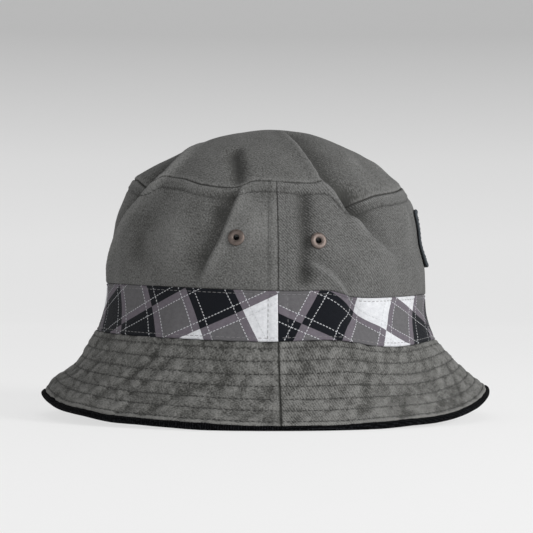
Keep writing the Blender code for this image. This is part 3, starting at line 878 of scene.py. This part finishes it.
# %% Lay the upper brim
for half in HALVES:
    down = edge_crowded(80, BRIM_SLANT - 2 * SEAM_LINE) + SEAM_LINE
    angle, station = np.broadcast_arrays(half_columns(half, 420), -(down[::-1] / BRIM_SLANT)[:, None])
    relief = brim_relief(angle, station)
    points = cloth_point(angle, station, relief)
    puckers = relief - brim_swell(angle, station)
    # the puckers set the tone: paler where the cloth rises, and painted shade where it sinks
    fade = 0.45 * worn_edge((1 + station) * BRIM_SLANT) + 0.62 * puckers / MM
    # painted shade along the rows of stitches and the side seam
    fade = fade - 0.15 * ditch(row_distance(station)) - 1.0 * ditch(side_seam_distance(angle))
    panel = lay_panel("brim_top_" + half, points, brim_map(half, angle, station),
                      BRIM_TWILL[half], TWILL_CLOTH, {"fade": fade})
    attach(panel, "grey_twill", "brim_upper_" + half)

# %% [markdown]
# The underside is black. It reaches past the grey edge as a soft rolled lip, which is the dark
# line seen all round the hat, and the hat stands on it. Between the two lies the stiffener.

# %% Lay the under-brim and the stiffener
UNDER_DEPTH = 3.1 * MM
LIP = 3.4 * MM
LIP_ROUND = 1.5 * MM
LOWEST = 0.8 * MM  # leaves room for the cloth's thickness above the table
STIFFENER_INSET = 3.5 * MM
STIFFENER_DEPTH = 1.75 * MM


def under_relief(angle, station):
    """The under-brim's face, which follows the brim's slow waves a little below it."""
    grain = soft_noise(np.radians(angle) * RADIUS / (7 * MM), -station * BRIM_SLANT / (9 * MM), 91)
    pulled = 0.25 * ditch(row_distance(station)) + 0.25 * grain
    return brim_swell(angle, np.maximum(station, -1)) + MM * pulled - UNDER_DEPTH


for half in HALVES:
    columns = half_columns(half, 240)
    # the under-brim proper: from the seam to the edge, then out over the lip and back on top of it
    bend = BRIM_SLANT + LIP - LIP_ROUND
    flat = np.linspace(0.2 * MM, bend, 110)
    turn = np.linspace(0, math.pi, 9)[1:]
    back = np.linspace(bend, BRIM_SLANT - 2.2 * MM, 5)[1:]
    reach = np.concatenate([flat, bend + LIP_ROUND * np.sin(turn), back])
    height = np.concatenate([0 * flat, LIP_ROUND * (1 - np.cos(turn)),
                             2 * LIP_ROUND - np.linspace(0.3, 1.6, len(back)) * MM])
    angle, station = np.broadcast_arrays(columns, -(reach / BRIM_SLANT)[:, None])
    points = cloth_point(angle, station, under_relief(angle, station) + height[:, None])
    points[..., 2] = np.maximum(points[..., 2], LOWEST)
    # painted shade: the cloth is darker near the edge and over the rolled lip
    panel = lay_panel("brim_under_" + half, points[:, ::-1], brim_map(half, angle[:, ::-1], station),
                      BLACK_TWILL, THIN_CLOTH, {"fade": -0.9 * smooth_step((-station - 0.94) / 0.05)})
    attach(panel, "black_twill", "brim_lower_" + half)

    down = np.linspace(STIFFENER_INSET, BRIM_SLANT - STIFFENER_INSET, 34)
    angle, station = np.broadcast_arrays(half_columns(half, 160), -(down[::-1] / BRIM_SLANT)[:, None])
    points = cloth_point(angle, station, brim_swell(angle, station) - STIFFENER_DEPTH)
    panel = lay_panel("brim_stiffener_" + half, points, cloth_map(angle, station * BRIM_SLANT),
                      STIFFENER, 0.4 * MM)
    attach(panel, "interlining", "brim_interlining_" + half)

# %% [markdown]
# ## Inside the hat
#
# The lining follows the same pattern 2.4 mm in, and the sweatband covers the seam where the brim
# joins. Both are a thin black twill.

# %% Lay the lining and the sweatband
LINING_DEPTH = 2.4 * MM
SWEATBAND_DEPTH = 3.4 * MM
SWEATBAND_HEIGHT = 30.0 * MM

for half in HALVES:
    share = np.linspace(0.03, 1.999, 66)[:, None]
    angle = half_columns(half, 150)
    station = np.where(share > 1, 1 + (share - 1) * (tip_seam_station(angle) - 1), share)
    angle = np.broadcast_to(angle, station.shape)
    points = cloth_point(angle, station, body_relief(angle, station) - LINING_DEPTH)
    panel = lay_panel("lining_" + half, points, cloth_map(angle, station * SIDE_HEIGHT),
                      LINING_TWILL, THIN_CLOTH)
    attach(panel, "black_twill", "lining_side_" + half)

angle, station = tip_grid(200, 30)
points = cloth_point(angle, station, body_relief(angle, station) - LINING_DEPTH)
middle = middle - [[0, 0, LINING_DEPTH]]
lining = lay_panel("lining_crown_tip", points, pattern_point(angle, station)[..., :2], LINING_TWILL,
                   THIN_CLOTH, wrap=True, peak=(middle, middle[:, :2]))
attach(lining, "black_twill", "lining_tip")

angle = np.linspace(-180, 180, 260, endpoint=False)[None, :]
height = edge_crowded(20, SWEATBAND_HEIGHT)[:, None]
angle, height = np.broadcast_arrays(angle, height)
station = np.where(height > BAND_HEIGHT, 1 + (height - BAND_HEIGHT) / SIDE_HEIGHT, height / BAND_HEIGHT)
relief = body_relief(angle, station) - SWEATBAND_DEPTH
relief = relief + 0.3 * MM * soft_noise(angle / 5, height / (9 * MM), 95)
points = cloth_point(angle, station, relief)
band = lay_panel("sweatband_cloth", points, cloth_map(angle, height), LINING_TWILL, 0.8 * MM, wrap=True)
attach(band, "black_twill", "sweatband")

# %% [markdown]
# ## Eyelets
#
# Two bronze eyelets on each side let air in. An eyelet is turned, so its section is drawn once and
# spun with a Screw modifier. The cloth is cut away under it with a Boolean.

# %% Cut and set the eyelets
EYELET_OFF_SEAM = 24.4 * MM
EYELET_STATION = 1.487
FLANGE = 4.9 * MM
BORE = 1.6 * MM


def spun(name, section, finish):
    """A section of (radius, height) corners, turned into a ring."""
    edges = [(i, (i + 1) % len(section)) for i in range(len(section))]
    piece = new_piece(name, [(radius, 0, height) for radius, height in section], [], finish, edges)
    screw = piece.modifiers.new("spin", "SCREW")
    screw.steps = screw.render_steps = 40
    screw.use_merge_vertices = True
    screw.merge_threshold = 0.00001
    screw.use_smooth_shade = True
    return piece


def flange_section():
    """A rounded dome ring, a barrel through the cloth and a small clinched lip inside."""
    middle, half = (FLANGE + BORE) / 2, (FLANGE - BORE) / 2
    dome = [(middle - half * math.cos(t), 0.15 * MM + 0.95 * MM * math.sin(t) ** 0.8)
            for t in np.linspace(0, math.pi, 13)]
    barrel = [(BORE + 0.5 * MM, 0.0), (BORE + 0.5 * MM, -3.8 * MM), (BORE + 1.2 * MM, -4.0 * MM),
              (BORE + 1.1 * MM, -4.4 * MM), (BORE, -4.4 * MM)]
    return dome + barrel


def washer_section():
    low, high = -3.75 * MM, -3.25 * MM
    return [(BORE + 0.7 * MM, high), (4.3 * MM, high), (4.5 * MM, low + 0.2 * MM), (4.3 * MM, low),
            (BORE + 0.7 * MM, low)]


def set_square(piece, place, facing):
    """Moves a piece to a place on the cloth, with its axis straight out of it."""
    piece.location = place
    piece.rotation_mode = "QUATERNION"
    piece.rotation_quaternion = facing


def cut_hole(piece, place, facing):
    bpy.ops.mesh.primitive_cylinder_add(vertices=32, radius=BORE + 0.55 * MM, depth=16 * MM)
    cutter = bpy.context.object
    set_square(cutter, place, facing)
    hole = piece.modifiers.new("eyelet_hole", "BOOLEAN")
    hole.operation = "DIFFERENCE"
    hole.solver = "EXACT"
    hole.object = cutter
    return cutter


cutters = []
for side, seam in (("right", RIGHT), ("left", LEFT)):
    for half, forward in (("front", 1), ("back", -1)):
        across = math.degrees(math.asin(EYELET_OFF_SEAM / CROWN_HALF[0]))
        turn_angle = np.array([seam + across * forward * (1 if side == "right" else -1)])
        where = np.array([EYELET_STATION])
        place = Vector(cloth_point(turn_angle, where, crown_relief(turn_angle, where))[0])
        facing = Vector(pattern_normal(turn_angle, where)[0]).to_track_quat("Z", "Y")
        for panel in ("crown_cloth_" + half, "lining_" + half):
            cutters.append(cut_hole(bpy.data.objects[panel], place, facing))
        label = f"{side}_{half}"
        for name, section, node in (("eyelet_ring_", flange_section(), "eyelet_"),
                                    ("eyelet_back_", washer_section(), "eyelet_washer_")):
            piece = spun(name + label, section, EYELET_METAL)
            set_square(piece, place, facing)
            attach(piece, "antique_metal", node + label)

for half in HALVES:
    for name in ("crown_cloth_" + half, "lining_" + half):
        piece = bpy.data.objects[name]
        graph = bpy.context.evaluated_depsgraph_get()
        final = bpy.data.meshes.new_from_object(piece.evaluated_get(graph), depsgraph=graph)
        piece.modifiers.clear()
        piece.data = final
        print(name, "with holes:", len(final.polygons), "faces")
for cutter in cutters:
    bpy.data.objects.remove(cutter)

# %% [markdown]
# ## Stitches
#
# A stitch is a short piece of thread that rises out of one needle hole and dives into the next.
# One small rounded rod is bent that way, and copied by arithmetic along every seam, which is far
# faster than placing objects.

# %% Sew
def stitch_run(line, normals, length, gap):
    """Start, end and normal of each stitch along a line of points."""
    steps = np.linalg.norm(np.diff(line, axis=0), axis=1)
    travelled = np.concatenate([[0], np.cumsum(steps)])
    starts = np.arange(0, travelled[-1] - length, length + gap)

    def at(values, where):
        return np.stack([np.interp(where, travelled, values[:, i]) for i in range(3)], axis=-1)

    return at(line, starts), at(line, starts + length), at(normals, starts + length / 2)


def sew(name, runs, finish, slot, thickness, body="hat"):
    """Every stitch of one colour as a single piece. runs holds (starts, ends, normals)."""
    start, end, normal = (np.concatenate([run[i] for run in runs]) for i in range(3))
    normal = normal / np.linalg.norm(normal, axis=1, keepdims=True)
    along = end - start
    side = np.cross(normal, along)
    side = side / np.linalg.norm(side, axis=1, keepdims=True)
    share = np.array([0, 0.10, 0.30, 0.70, 0.90, 1])
    girth = np.array([0.45, 0.85, 1, 1, 0.85, 0.45]) * thickness * MM / 2
    rise = np.array([-0.22, -0.02, 0.13, 0.13, -0.02, -0.22]) * MM
    sides = 6
    turn = np.linspace(0, 2 * math.pi, sides, endpoint=False)
    centre = start[:, None] + along[:, None] * share[:, None] + normal[:, None] * rise[:, None]
    ring = (normal[:, None, None] * np.cos(turn)[:, None] + side[:, None, None] * np.sin(turn)[:, None])
    vertices = centre[:, :, None] + ring * girth[:, None, None]
    rings, count = len(share), len(start)
    index = np.arange(count * rings * sides).reshape(count, rings, sides)
    tube = between_rings(index)
    caps = np.concatenate([index[:, 0, ::-1], index[:, -1]])
    faces = tube[:, ::-1].tolist() + caps[:, ::-1].tolist()
    print(name, count, "stitches")
    attach(new_piece(name, vertices.reshape(-1, 3).tolist(), faces, finish), slot, body=body)


def seam_run(angle, station, relief, length=2.5, gap=0.6, side=1):
    """The stitches of one seam, with their length and gap in mm. side -1 sews on the underside."""
    angle, station = np.broadcast_arrays(np.asarray(angle, float), np.asarray(station, float))
    line = cloth_point(angle, station, relief(angle, station))
    return stitch_run(line, side * pattern_normal(angle, station), length * MM, gap * MM)


# %% Sew the crown, the band and the brim
crown_runs, side_runs, band_runs, brim_runs, under_runs = [], [], [], [], []
seam_turn = math.degrees(TOPSTITCH_BESIDE_SEAM / RADIUS)
for start, end in HALVES.values():
    angle = np.linspace(start + 1.2, end - 1.2, 700)
    below_tip = tip_seam_station(angle) - TOPSTITCH_BELOW_TIP / SIDE_HEIGHT
    crown_runs.append(seam_run(angle, below_tip, crown_relief))
    for height in (EDGE_STITCH, BAND_HEIGHT - EDGE_STITCH):
        band_runs.append(seam_run(angle, height / BAND_HEIGHT, band_relief))
    for row in STITCH_ROWS:
        brim_runs.append(seam_run(angle, row, brim_relief, length=1.9, gap=1.3))
        under_runs.append(seam_run(angle, row, under_relief, length=1.9, gap=1.3, side=-1))
for seam in (RIGHT, LEFT):
    for beside in (seam - seam_turn, seam + seam_turn):
        up = np.linspace(1.03, tip_seam_station(beside) - 0.03, 160)
        side_runs.append(seam_run(beside, up, crown_relief))
        band_runs.append(seam_run(beside, np.linspace(0.05, 0.95, 80), band_relief))
sew("topstitching_crown", crown_runs, GREY_THREAD, "grey_twill", thickness=0.50)
sew("topstitching_side_seams", side_runs, WORN_THREAD, "grey_twill", thickness=0.46)
sew("edge_stitching_band", band_runs, BAND_THREAD, "printed_cotton", thickness=0.36)
sew("quilting_brim", brim_runs, BRIM_THREAD, "grey_twill", thickness=0.50)
sew("quilting_under_brim", under_runs, GREY_THREAD, "black_twill", thickness=0.50)

# %% [markdown]
# ## The patch and the label
#
# The front patch is sewn along its top edge only, so its lower edge stands off and it lifts on
# its own hinge. It is left blank. The care label hangs inside the back the same way.

# %% Front patch
badge_low, badge_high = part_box("badge_backing")
BADGE_WIDTH = badge_high.y - badge_low.y
BADGE_HEIGHT = badge_high.z - badge_low.z
BADGE_DOWN = 1.4 * MM  # its top is a little below the plain one's, to clear the crown as it lifts
FRONT_SIDE_HEIGHT = SIDE_HEIGHT + TIP_LIFT - TIP_TILT + BAND_TILT


def on_front(across, drop, offset):
    """Points in front of the crown: across in metres, drop as a share of the patch from its top."""
    angle = np.degrees(across / CROWN_HALF[1])
    band_top = BRIM_SEAM_HEIGHT - BAND_TILT + BAND_HEIGHT
    station = 1 + (badge_high.z - BADGE_DOWN - band_top - drop * BADGE_HEIGHT) / FRONT_SIDE_HEIGHT
    angle, station = np.broadcast_arrays(angle, station)
    lift = offset + 1.2 * MM * drop**6
    return cloth_point(angle, station, body_relief(angle, station) + lift)


across = np.linspace(-BADGE_WIDTH / 2 + 1.2 * MM, BADGE_WIDTH / 2 - 1.2 * MM, 40)[None, :]
drop = np.linspace(0.91, 0.09, 40)[:, None]
patch_points = on_front(across, drop, 1.9 * MM)
patch_map = np.stack(np.broadcast_arrays(across, -drop * BADGE_HEIGHT), axis=-1)
patch = lay_panel("badge_patch", patch_points, patch_map, BADGE_CLOTH, 1.2 * MM)
attach(patch, "badge_cloth", "badge_face", body="badge")

# %% Overlocked border
corner = 4.0 * MM
half_width, half_height = BADGE_WIDTH / 2 - 1.4 * MM - corner, BADGE_HEIGHT / 2 - 3.1 * MM - corner
outline = []
for centre_across, centre_drop, start in ((1, 1, 270), (1, -1, 0), (-1, -1, 90), (-1, 1, 180)):
    for bend in np.radians(np.linspace(start, start + 90, 12)):
        outline.append((centre_across * half_width + corner * math.cos(bend),
                        -centre_drop * half_height + corner * math.sin(bend)))
outline = np.array(outline)
around = np.concatenate([outline, outline[:1]])
lengths = np.concatenate([[0], np.cumsum(np.linalg.norm(np.diff(around, axis=0), axis=1))])
walk = np.linspace(0, lengths[-1], 720, endpoint=False)
edge_across = np.interp(walk, lengths, around[:, 0])
edge_drop = 0.5 - np.interp(walk, lengths, around[:, 1]) / BADGE_HEIGHT
centre_line = on_front(edge_across, edge_drop, 1.3 * MM)
ahead = np.roll(centre_line, -1, axis=0) - np.roll(centre_line, 1, axis=0)
ahead = ahead / np.linalg.norm(ahead, axis=1, keepdims=True)
outward = pattern_normal(np.degrees(edge_across / CROWN_HALF[1]), np.full(len(walk), 1.6))
sideways = np.cross(ahead, outward)
wraps = 1 + 0.10 * np.sin(np.arange(len(walk)) * 2 * math.pi / 4)
sides = 14
turn = np.linspace(0, 2 * math.pi, sides, endpoint=False)[None, :, None]
ring = 0.95 * np.cos(turn) * outward[:, None] + 1.5 * np.sin(turn) * sideways[:, None]
border_points = centre_line[:, None] + ring * (MM * wraps)[:, None, None]
index = np.arange(len(walk) * sides).reshape(len(walk), sides)
quads = between_rings(np.vstack([index, index[:1]]))
border = new_piece("badge_border", border_points.reshape(-1, 3).tolist(), quads.tolist(), BADGE_THREAD)
attach(border, "black_twill", "badge_backing", body="badge")
inner_line = on_front(edge_across * 0.82, 0.5 + (edge_drop - 0.5) * 0.78, 2.0 * MM)
badge_runs = [stitch_run(inner_line, outward, 2.0 * MM, 0.9 * MM)]
sew("stitching_badge", badge_runs, GREY_THREAD, "badge_cloth", thickness=0.5, body="badge")

# %% Care label
label_low, label_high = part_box("care_label")
across = np.linspace(label_low.y, label_high.y, 30)[None, :]
down = np.linspace(0, 1, 30)[::-1][:, None]
sway = label_high.x + 1.2 * MM * np.sin(down * 2.4) + 0.5 * MM * np.cos(across / (9 * MM)) * down
across, down = np.broadcast_arrays(across, down)
label_points = np.stack([sway, across, label_high.z - down * (label_high.z - label_low.z)], axis=-1)
label = lay_panel("care_label_ribbon", label_points[:, ::-1], np.stack([across, -down * 0.03], axis=-1),
                  RIBBON, 0.35 * MM)
attach(label, "satin_ribbon", "care_label", body="care_label")

# %% [markdown]
# ## The studio
#
# A pale floor that curves up into a backdrop and glows with painted light, soft lights with the stronger one
# from the hat's front, and a long lens level with the band.

# %% Floor, lights and camera
def backdrop():
    """A round studio floor that curves up into its wall and glows with painted light, brighter low down and
    dimmer up the wall.
    """
    bend = np.linspace(0, math.pi / 2, 20)[1:]
    reach = np.concatenate([np.linspace(0.02, 1.8, 16), 1.8 + 0.9 * np.sin(bend), [2.7]])
    rise = np.concatenate([np.zeros(16), 0.9 * (1 - np.cos(bend)), [2.2]])
    turn = np.linspace(0, 2 * math.pi, 96, endpoint=False)
    vertices = [(r * math.cos(t), r * math.sin(t), z) for r, z in zip(reach, rise) for t in turn]
    index = np.arange(len(vertices)).reshape(len(reach), 96)
    finish, tree, shader = new_finish("glowing_floor", 0.9)
    painted_glow = add(tree, "ShaderNodeValToRGB")
    plug(tree, split_place(tree, object_place(tree))["Z"], painted_glow.inputs["Fac"])
    ramp = painted_glow.color_ramp.elements
    ramp.remove(ramp[1])
    # painted light: the glow is brightest on the floor and dims up the wall; with the dull base colour it
    # keeps the hat's shadow faint
    for height, tone in ((0.0, 0.66), (0.14, 0.64), (0.30, 0.565), (0.57, 0.35)):
        stop = ramp[0] if height == 0 else ramp.new(height)
        stop.color = (tone, tone, tone, 1)
    plug(tree, painted_glow.outputs["Color"], shader.inputs["Emission Color"])
    shader.inputs["Emission Strength"].default_value = 1.0
    shader.inputs["Base Color"].default_value = (0.20, 0.20, 0.20, 1)
    new_piece("backdrop", vertices, between_rings(index).tolist() + [index[0].tolist()], finish)


def soft_light(name, place, size, power, aim=(0, 0, 0.09)):
    lamp = bpy.data.lights.new(name, "AREA")
    lamp.shape = "RECTANGLE"
    lamp.size, lamp.size_y = size
    lamp.energy = power
    piece = bpy.data.objects.new(name, lamp)
    piece.location = place
    piece.rotation_euler = (Vector(aim) - Vector(place)).to_track_quat("-Z", "Y").to_euler()
    bpy.context.scene.collection.objects.link(piece)


backdrop()
soft_light("key_from_front", (1.35, -1.0, 0.62), (0.6, 0.6), 26)
soft_light("front_softbox", (0.2, -2.0, 0.75), (1.0, 0.8), 9)
soft_light("top_softbox", (0.0, 0.0, 1.9), (1.4, 1.4), 6)
soft_light("fill_from_back", (-1.6, -1.1, 0.5), (1.0, 1.0), 2)

world = bpy.data.worlds.new("studio")
bpy.context.scene.world = world
world.use_nodes = True
world.node_tree.nodes["Background"].inputs["Color"].default_value = (1, 1, 1, 1)
world.node_tree.nodes["Background"].inputs["Strength"].default_value = 0.10
bpy.context.scene.view_settings.view_transform = "Standard"

CAMERA_TURN = math.radians(-4.27)
CAMERA_DISTANCE = 1.1463
CAMERA_HEIGHT = 0.0909
CAMERA_RISE = math.radians(0.078)
CAMERA_ROLL = math.radians(0.26)
LENS = 124.2
camera = bpy.data.objects.new("camera", bpy.data.cameras.new("camera"))
camera.data.lens = LENS
camera.data.sensor_width = 36
forward = Vector((-math.sin(CAMERA_TURN), math.cos(CAMERA_TURN), 0))
place = -forward * CAMERA_DISTANCE + Vector((0, 0, CAMERA_HEIGHT))
aim = forward + Vector((0, 0, math.tan(CAMERA_RISE)))
level = aim.to_track_quat("-Z", "Y").to_matrix().to_4x4()
camera.matrix_world = Matrix.Translation(place) @ level @ Matrix.Rotation(CAMERA_ROLL, 4, "Z")
bpy.context.scene.collection.objects.link(camera)
bpy.context.scene.camera = camera
